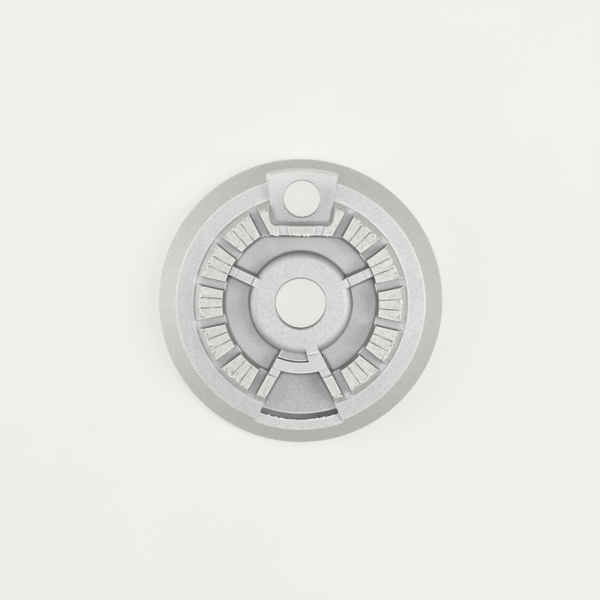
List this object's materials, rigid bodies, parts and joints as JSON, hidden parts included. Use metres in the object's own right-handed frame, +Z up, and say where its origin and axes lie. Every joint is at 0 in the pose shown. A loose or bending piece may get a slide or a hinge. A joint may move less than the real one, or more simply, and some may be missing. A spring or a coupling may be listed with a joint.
{
  "type": "gas burner crown",
  "caption": "Round die-cast burner crown with radial flame slots, stepped gas pockets, a raised igniter boss, an open flame chamber and a conical skirt.",
  "frame": {"origin": "on the bore axis, in the plane of the flat rim that the crown stands on", "axes": "+Z up along the bore, out of the toothed side; +Y from the bore towards the igniter boss"},
  "size_m": [0.0554, 0.0554, 0.009],
  "materials": {
    "cast_aluminium": "blasted die casting, satin grey"
  },
  "bodies": {
    "root": {"burner_crown": "cast_aluminium"}
  },
  "joints": []
}
